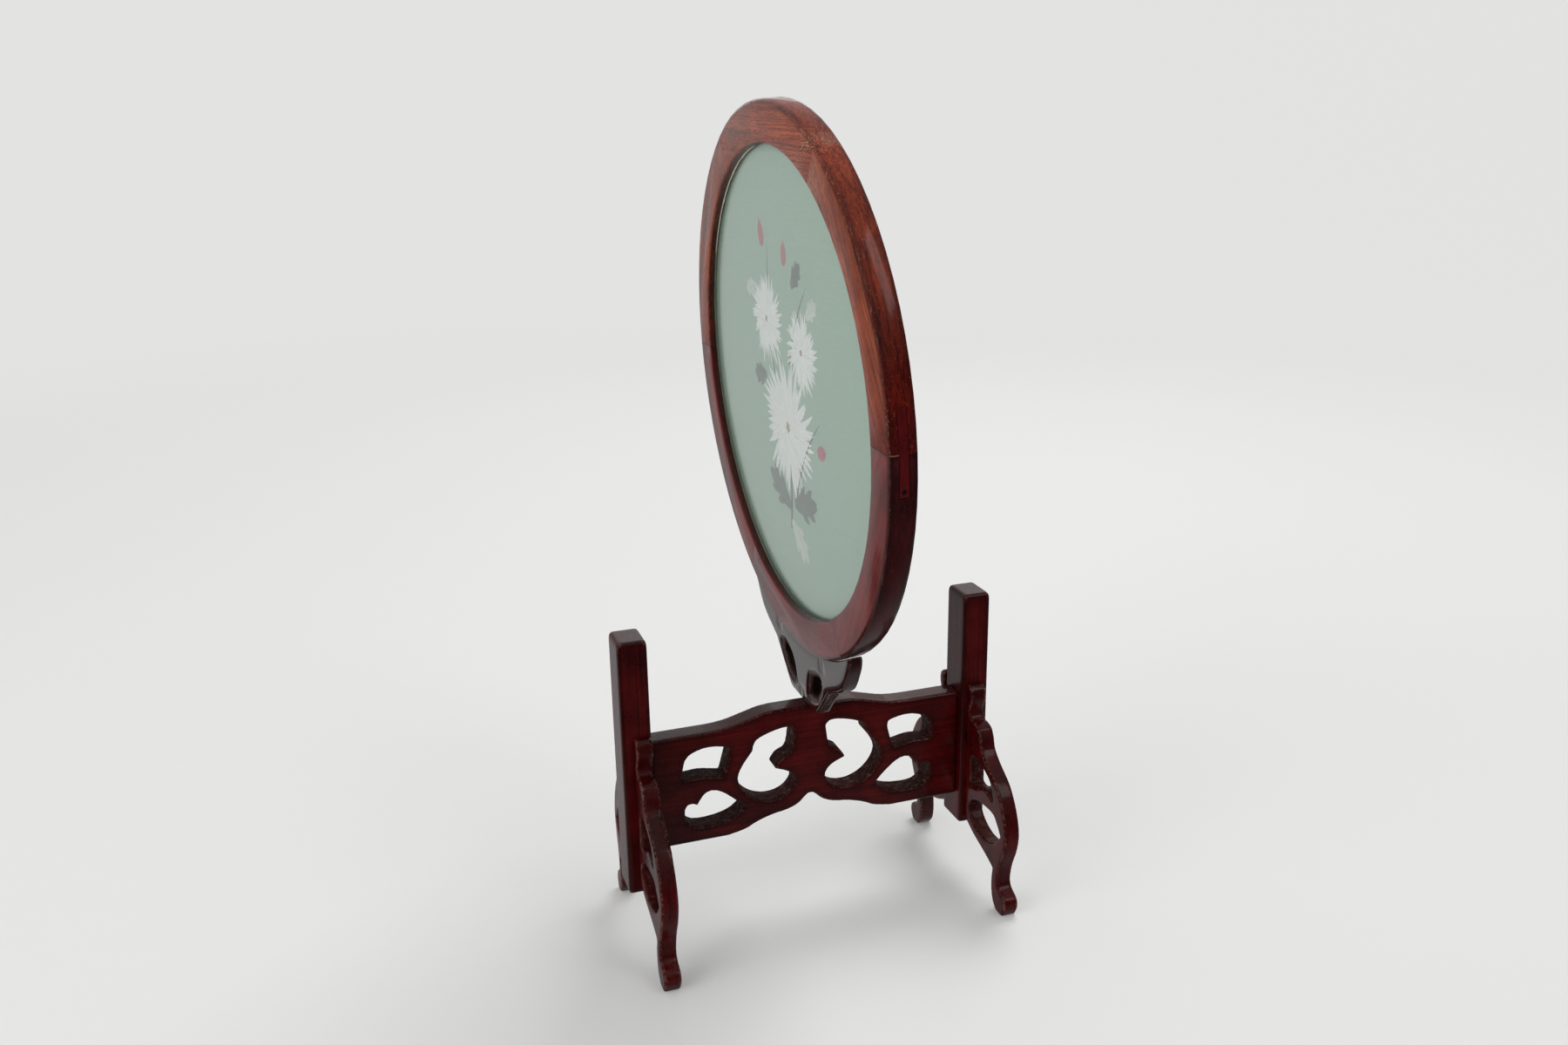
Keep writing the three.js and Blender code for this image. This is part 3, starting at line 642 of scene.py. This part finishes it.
def keep_painted_edge_shade(piece, axis, reach):
    """Painted shade on a board: 1 along the arrises of its faces, falling to 0 this far in, and less on its edges.
    """
    mesh = piece.data
    points = points_of(mesh)
    side, _ = wall_groups(mesh, axis)
    heights = points @ np.array(axis)
    level = points - heights[:, None] * np.array(axis)
    middle = (heights.max() + heights.min()) / 2
    by_face = side & (np.abs(heights - middle) > BY_FACE * (heights.max() - middle))
    from_arris = distance_to(level[by_face])
    distance = np.array([from_arris(point) for point in level])
    keep_value(mesh, "painted_edge_shade", np.where(side, EDGE_PAINTED_SHADE, np.clip(1 - distance / reach, 0, 1) ** 2))


def pillow(piece, axis, middle, reach, drop):
    """A board's faces fall away in a soft curve towards its outline and its piercings."""
    mesh = piece.data
    points = points_of(mesh)
    normal = np.array(axis)
    heights = (points - np.array(middle)) @ normal
    side, _ = wall_groups(mesh, axis)
    level = points - heights[:, None] * normal
    from_edge = distance_to(level[side])
    most = np.abs(heights).max()
    for index in range(len(points)):
        share = abs(heights[index]) / most
        distance = 0.0 if side[index] else min(from_edge(level[index]), reach)
        heights[index] *= 1 - drop / most * share * (1 - distance / reach) ** 2
    move_points(mesh, level + heights[:, None] * normal)


def tighten(piece, axis, amount):
    """A board's piercings close in on themselves by this much all round."""
    mesh = piece.data
    points, normals, across = points_of(mesh), normals_of(mesh), np.array(axis)
    holes = np.empty(len(points))
    mesh.attributes["wall"].data.foreach_get("value", holes)
    level = normals - (normals @ across)[:, None] * across
    move_points(mesh, points + level * (holes * amount)[:, None])


WELD = 0.002 * MM
FLAT_ANGLE = math.radians(0.5)
BEVEL_ANGLE = math.radians(32)
CREASE_ANGLE = math.radians(38)


def welded_copy(node, name):
    """A copy of a CAD node's solid with its shared corners joined and its flat facets merged."""
    mesh = NODES[node].data.copy()
    mesh.name = name
    work = bmesh.new()
    work.from_mesh(mesh)
    bmesh.ops.remove_doubles(work, verts=work.verts, dist=WELD)
    bmesh.ops.dissolve_limit(work, angle_limit=FLAT_ANGLE, verts=work.verts, edges=work.edges)
    for face in work.faces:
        face.smooth = True
    work.to_mesh(mesh)
    work.free()
    return add_object(name, mesh)


def apply_modifiers(piece):
    """Keeps the shape that the piece's modifiers give it, without them."""
    bpy.context.view_layer.update()
    evaluated = piece.evaluated_get(bpy.context.evaluated_depsgraph_get())
    mesh = bpy.data.meshes.new_from_object(evaluated)
    piece.modifiers.clear()
    piece.data = mesh


def stand_in(piece, node, material):
    """The piece is shown for a CAD node, on its body and with this material."""
    piece.data.materials.clear()
    piece.data.materials.append(material)
    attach(piece, BODY_OF[node])
    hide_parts(node)


def carved(node, voxel=0.42, rounds=5):
    """A board carved and sanded by hand: its arrises are rounded and its facets are smoothed out."""
    piece = welded_copy(node, node + "_carved")
    remesh = piece.modifiers.new("voxels", "REMESH")
    remesh.mode = "VOXEL"
    remesh.voxel_size = voxel * MM
    remesh.use_smooth_shade = True
    smooth = piece.modifiers.new("sanding", "SMOOTH")
    smooth.factor = 0.5
    smooth.iterations = rounds
    apply_modifiers(piece)
    piece.data.shade_smooth()
    return piece


def turned(node, width=0.22):
    """A sawn or turned piece with crisp faces and slightly broken edges."""
    piece = welded_copy(node, node + "_turned")
    bevel = piece.modifiers.new("arris", "BEVEL")
    bevel.width = width * MM
    bevel.segments = 2
    bevel.limit_method = "ANGLE"
    bevel.angle_limit = BEVEL_ANGLE
    bevel.harden_normals = True
    apply_modifiers(piece)
    piece.data.set_sharp_from_angle(angle=CREASE_ANGLE)
    return piece


def even_round(piece, centre, axis):
    """Takes the small turns from facet to facet out of the shading of a turned ring's piece."""
    mesh = piece.data
    middle, spin = np.array(centre), np.array(axis)
    corner = np.empty(len(mesh.loops), dtype=np.int64)
    mesh.loops.foreach_get("vertex_index", corner)
    normals = vectors_of(mesh.corner_normals, "vector")
    tangent = np.cross(spin, points_of(mesh)[corner] - middle)
    tangent /= np.linalg.norm(tangent, axis=1)[:, None]
    turn = (normals * tangent).sum(1)
    even = normals - turn[:, None] * tangent
    most_turn = 0.5
    even = np.where(np.abs(turn)[:, None] < most_turn, even, normals)
    even /= np.linalg.norm(even, axis=1)[:, None]
    mesh.normals_split_custom_set(even.tolist())


def dress_stand():
    """Rail, posts and legs in dark red lacquer, each with its own grain."""
    stuff = lacquer("stand_lacquer", srgb(26, 2, 3), srgb(88, 9, 11), coat=0.38)
    across_rail, upright, depth = (1, 0, 0), (0, 0, 1), (0, 1, 0)
    rail = carved("rail")
    keep_walls(rail, depth)
    keep_painted_edge_shade(rail, depth, 4.0 * MM)
    boards = [(rail, "rail", across_rail, upright)]
    for side in ("left", "right"):
        post = carved("post_" + side, voxel=0.45, rounds=9)
        keep_painted_edge_shade(post, depth, 3.0 * MM)
        boards.append((post, "post_" + side, upright, across_rail))
        for face in ("front", "rear"):
            node = f"leg_{face}_{side}"
            leg = carved(node)
            keep_walls(leg, across_rail, bareness=0.5)
            keep_painted_edge_shade(leg, across_rail, 1.6 * MM)
            boards.append((leg, node, upright, depth))
    for piece, node, along, broad in boards:
        keep_grain(piece, along, broad)
        keep_arrises(piece)
        stand_in(piece, node, stuff)


def dress_ring():
    """Six segments in two woods, the grain of each along its own chord."""
    upper = ring_timber("ring_wood_upper", srgb(92, 32, 20), srgb(166, 82, 50),
                        rim_dark=srgb(80, 18, 11), rim_light=srgb(146, 58, 30), open_grain=1.0)
    lower = ring_timber("ring_wood_lower", srgb(76, 20, 21), srgb(120, 40, 37),
                        rim_dark=srgb(50, 9, 11), rim_light=srgb(74, 17, 19), open_grain=0.3)
    names = ["near_upper", "top", "far_upper", "far_lower", "bottom", "near_lower"]
    away = SCREEN.inverted()
    for index, name in enumerate(names):
        node = "ring_" + name
        piece = turned(node, width=0.05)
        middle = (index + 0.5) * SEGMENT
        chord = SCREEN.to_3x3() @ Vector((-math.sin(middle), 0, math.cos(middle)))
        keep_grain(piece, chord, ACROSS)
        place = [tuple(away @ vertex.co) for vertex in piece.data.vertices]
        keep_vector(piece.data, "screen_place", np.array(place))
        even_round(piece, CENTRE, ACROSS)
        stand_in(piece, node, upper if index < 3 else lower)


def dress_rest():
    """The cradle, the joints' splines and pins, and what the ring holds."""
    # The cradle's piercing walls are near black: painted shade in its holes.
    black = lacquer("near_black_wood", srgb(18, 6, 6), srgb(52, 18, 18), coat=1.0, gloss=0.24,
                    cut=((5, 4, 4), (12, 9, 8), (26, 20, 17)))
    red = lacquer("spline_wood", srgb(44, 5, 8), srgb(88, 11, 14), coat=0.4)
    cradle = carved("cradle", voxel=0.35, rounds=4)
    low_corner, high_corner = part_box("pivot_pin")
    middle = (low_corner + high_corner) / 2
    keep_walls(cradle, ACROSS)
    tighten(cradle, ACROSS, 2.2 * MM)
    pillow(cradle, ACROSS, middle, reach=3.0 * MM, drop=0.3 * MM)
    keep_arrises(cradle)
    pin = turned("pivot_pin")
    for piece, node in ((cradle, "cradle"), (pin, "pivot_pin")):
        keep_grain(piece, ALONG, UP)
        stand_in(piece, node, black)
    iron = plain("nail_iron", srgb(40, 34, 32), roughness=0.6, metallic=0.6)
    for side in ("near", "far"):
        spline = turned("spline_" + side, width=0.1)
        keep_grain(spline, UP, ACROSS)
        stand_in(spline, "spline_" + side, red)
        stand_in(turned("spline_nail_" + side, width=0.08), "spline_nail_" + side, iron)

    dowel = plain("dowel_wood", srgb(150, 104, 70), roughness=0.7)
    card = plain("card", srgb(212, 205, 186), roughness=0.9)
    glass = clear_glass()
    shown = {"silk_panel": silk_cloth()}
    shown.update({node: dowel for node in NODES if "dowel" in node})
    for face in ("front", "rear"):
        shown["spacer_" + face] = card
        shown["pane_" + face] = glass
    for node, material in shown.items():
        NODES[node].data.materials.clear()
        NODES[node].data.materials.append(material)


# Stitched flowers, in millimetres from the ring's centre: along the ring, and up
SILK_FACE = 0.2  # from the middle of the silk to either face
STITCH_STEP = 1.5
TIP = 0.985  # how far through its swell a strip ends, where 1 would be a point
FULLNESS = 0.7  # under 1, a strip keeps its width for longer


class Stitches:
    """Satin stitch in one colour of floss, on both faces of the silk."""

    def __init__(self, name, material, level):
        self.name = name
        self.material = material
        self.level = level
        self.places = []
        self.threads = []
        self.faces = []

    def strip(self, root, heading, length, width, bend=0.0, blunt=0.25, lift=0.08):
        """A slim tapering strip that bends as it goes, raised a little along its middle."""
        steps = max(4, round(length / STITCH_STEP))
        x, y = root
        tone = chance.uniform(0, 900)
        start = len(self.places)
        for i in range(steps + 1):
            t = i / steps
            angle = math.radians(heading + bend * t)
            half = width / 2 * math.sin(math.pi * (blunt + (TIP - blunt) * t)) ** FULLNESS
            crest = lift * math.sin(math.pi * (0.1 + 0.85 * t))
            for side in (-1, 0, 1):
                out = side * half
                rise = self.level + (0 if side else crest)
                self.places.append((x - out * math.sin(angle), rise, y + out * math.cos(angle)))
                self.threads.append(((t * length + tone) * MM, (out + tone) * MM, tone * MM))
            x += length / steps * math.cos(angle)
            y += length / steps * math.sin(angle)
        for i in range(steps):
            for k in (0, 1):
                a = start + 3 * i + k
                self.faces.append((a, a + 1, a + 4, a + 3))

    def make(self):
        for face_name, face in (("front", -1), ("rear", 1)):
            mesh = bpy.data.meshes.new(f"{self.name}_{face_name}")
            places = [SCREEN @ (Vector((x, face * rise, y)) * MM) for x, rise, y in self.places]
            order = [f if face < 0 else f[::-1] for f in self.faces]
            mesh.from_pydata(places, [], order)
            mesh.materials.append(self.material)
            mesh.shade_smooth()
            keep_vector(mesh, "thread_place", np.array(self.threads))
            piece = add_object(f"{self.name}_{face_name}", mesh)
            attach(piece, BODY_OF["silk_panel"])


def onward(place, heading, distance):
    """The place this far on from another."""
    angle = math.radians(heading)
    return place[0] + distance * math.cos(angle), place[1] + distance * math.sin(angle)


def blossom(petals, heart, centre, radius, turn):
    """A chrysanthemum: rings of long petals, shorter and higher towards its heart."""
    rows = [(1.0, 46, 0.75), (0.84, 38, 0.8), (0.64, 28, 0.8), (0.42, 20, 0.8), (0.24, 12, 0.8)]
    start = 0.06 * radius
    knots = 12
    for row, (reach, count, width) in enumerate(rows):
        for i in range(count):
            heading = turn + 360 * (i + 0.5 * (row % 2)) / count + chance.uniform(-4, 4)
            length = radius * reach * chance.uniform(0.82, 1.08)
            petals[row].strip(onward(centre, heading, start), heading, length - start,
                              radius * 0.15 * width, chance.uniform(6, 34), blunt=0.2)
    for i in range(knots):
        heading = turn + 360 * i / knots + chance.uniform(-9, 9)
        heart.strip(centre, heading, radius * chance.uniform(0.06, 0.11), radius * 0.04)


def leaf(stitches, root, heading, length, width):
    """Two stitched halves along one midrib, each with two side lobes."""
    for side in (-1, 1):
        stitches.strip(root, heading + side * 9, length, width * 0.55, side * -16, blunt=0.12)
        for reach, spread in ((0.25, 52), (0.5, 42)):
            stitches.strip(onward(root, heading, reach * length), heading + side * spread, length * 0.42,
                           width * 0.36, side * -22, blunt=0.15)


def bud(pink, green, root, heading, length):
    """Five pink petals that close to a point, between two green sepals."""
    for spread in (-30, -15, 0, 15, 30):
        reach = length * (1 - abs(spread) / 120)
        pink.strip(root, heading + spread, reach, length * 0.3, -spread, blunt=0.3)
    for spread in (-38, 38):
        green.strip(root, heading + spread, length * 0.5, length * 0.2, -spread, blunt=0.3, lift=0.1)


def pale_slips():
    """Ragged pale slips that show just within the ring's sight edge, on one arc of each face."""
    card = plain("pale_slip", srgb(206, 200, 184), roughness=0.9)
    under_glass = 2.18 * MM
    outer = SIGHT_RADIUS + 0.1 * MM
    for name, face, first, last in (("front", -1, 100, 152), ("rear", 1, 28, 66)):
        points, faces = [], []
        for i in range(last - first + 1):
            angle = math.radians(first + i)
            swell = max(0.0, math.sin(math.pi * i / (last - first))) ** 0.5
            inner = SIGHT_RADIUS - (0.15 + swell * chance.uniform(0.25, 0.6)) * MM
            lowest = (2.1 - swell * chance.uniform(0.35, 0.8)) * MM
            for radius, rise in ((inner, under_glass), (outer, under_glass), (inner, lowest)):
                place = Vector((radius * math.cos(angle), face * rise, radius * math.sin(angle)))
                points.append(SCREEN @ place)
            if i:
                now, before = 3 * i, 3 * (i - 1)
                for a, b in ((0, 1), (2, 0)):
                    faces.append((before + a, before + b, now + b, now + a))
        mesh = bpy.data.meshes.new("pale_slip_" + name)
        mesh.from_pydata(points, [], faces)
        mesh.materials.append(card)
        piece = add_object("pale_slip_" + name, mesh)
        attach(piece, BODY_OF["spacer_" + name])


def embroider():
    """A spray of pale chrysanthemums with dull pink buds."""
    white = floss("floss_white", srgb(205, 208, 205), srgb(244, 244, 241))
    straw = floss("floss_straw", srgb(120, 104, 84), srgb(176, 158, 126))
    leafy = floss("floss_leaf", srgb(58, 72, 66), srgb(98, 114, 104))
    silvery = floss("floss_pale", srgb(170, 180, 172), srgb(206, 212, 204))
    rosy = floss("floss_pink", srgb(140, 62, 72), srgb(186, 102, 108))
    dusky = floss("floss_stem", srgb(52, 50, 46), srgb(84, 80, 72))
    rows = [Stitches(f"petals_{i}", white, SILK_FACE + 0.005 + 0.03 * i) for i in range(5)]
    heart = Stitches("hearts", straw, SILK_FACE + 0.17)
    green = Stitches("leaves", leafy, SILK_FACE + 0.005)
    pale = Stitches("pale_leaves", silvery, SILK_FACE + 0.02)
    pink = Stitches("buds", rosy, SILK_FACE + 0.03)
    stem = Stitches("stems", dusky, SILK_FACE)
    for root, heading, length, width, bend, blunt in (
        ((-4, -50), 78, 40, 1.6, 16, 0.45),
        ((2, -40), 66, 44, 1.3, -30, 0.4),
        ((-6, -6), 124, 34, 1.2, -30, 0.4),
        ((-12, 24), 96, 22, 0.9, -20, 0.4),
        ((4, 8), 66, 34, 1.0, -24, 0.4),
    ):
        stem.strip(root, heading, length, width, bend, blunt)
    for stitches, root, heading, length, width in (
        (green, (-3, -42), 158, 22, 10),
        (green, (1, -40), 14, 22, 10),
        (green, (-20, 0), 186, 13, 8),
        (green, (10, 34), 40, 12, 7),
        (pale, (-3, -47), -36, 18, 9),
        (pale, (-26, 30), 196, 10, 6),
        (pale, (22, 26), 30, 11, 6),
    ):
        leaf(stitches, root, heading, length, width)
    for centre, radius, turn in (((-1, -14), 24, 10), ((-16, 20), 15.5, 25), ((16, 14), 14, 5)):
        blossom(rows, heart, centre, radius, turn)
    for root, heading, length in (((-16, 44), 100, 9), ((4, 40), 80, 8), ((26, -16), 14, 8)):
        bud(pink, green, root, heading, length)
    for stitches in (*rows, heart, green, pale, pink, stem):
        stitches.make()


make_camera()
make_stage()
dress_stand()
dress_ring()
dress_rest()
pale_slips()
embroider()
